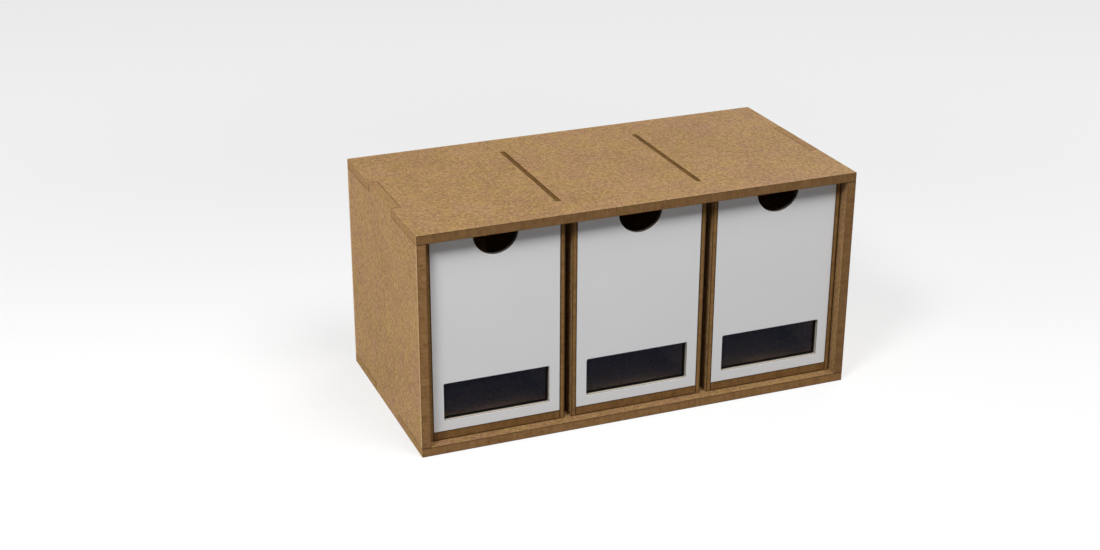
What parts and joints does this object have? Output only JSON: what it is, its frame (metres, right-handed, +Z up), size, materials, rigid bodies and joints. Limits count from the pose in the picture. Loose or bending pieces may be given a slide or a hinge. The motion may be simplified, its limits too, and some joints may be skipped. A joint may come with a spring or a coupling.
{
  "type": "trading card drawer box",
  "caption": "Open-fronted fibreboard box with tall drawers side by side for trading cards, each with a white windowed front and a finger notch.",
  "frame": {"origin": "middle of the case's underside, on the surface that the box stands on", "axes": "+Z up, the open front faces -Y, +X to the right of someone facing the front"},
  "size_m": [0.3, 0.15, 0.15],
  "materials": {
    "case_board": "bare medium fibreboard, matt, with browned laser-cut edges",
    "thin_case_board": "bare thin hard fibreboard, matt, with browned laser-cut edges",
    "drawer_board": "bare thin hard fibreboard, matt, with browned laser-cut edges",
    "white_faced_board": "thin fibreboard faced with a smooth white laminate, satin",
    "clear_sheet": "clear glossy plastic sheet"
  },
  "bodies": {
    "case": {"case_top_board": "case_board", "case_bottom_board": "case_board", "case_left_board": "case_board", "case_right_board": "case_board", "case_back_board": "thin_case_board", "left_divider": "thin_case_board", "right_divider": "thin_case_board"},
    "left_drawer": {"left_drawer_base": "drawer_board", "left_drawer_left_side": "drawer_board", "left_drawer_right_side": "drawer_board", "left_drawer_back": "drawer_board", "left_drawer_front": "white_faced_board", "left_drawer_window_pane": "clear_sheet"},
    "middle_drawer": {"middle_drawer_base": "drawer_board", "middle_drawer_left_side": "drawer_board", "middle_drawer_right_side": "drawer_board", "middle_drawer_back": "drawer_board", "middle_drawer_front": "white_faced_board", "middle_drawer_window_pane": "clear_sheet"},
    "right_drawer": {"right_drawer_base": "drawer_board", "right_drawer_left_side": "drawer_board", "right_drawer_right_side": "drawer_board", "right_drawer_back": "drawer_board", "right_drawer_front": "white_faced_board", "right_drawer_window_pane": "clear_sheet"}
  },
  "joints": [
    {"name": "left_drawer_slide", "type": "slide", "parent": "case", "child": "left_drawer", "axis": [0, -1, 0], "range_m": [0, 0.13]},
    {"name": "middle_drawer_slide", "type": "slide", "parent": "case", "child": "middle_drawer", "axis": [0, -1, 0], "range_m": [0, 0.13]},
    {"name": "right_drawer_slide", "type": "slide", "parent": "case", "child": "right_drawer", "axis": [0, -1, 0], "range_m": [0, 0.13]}
  ]
}
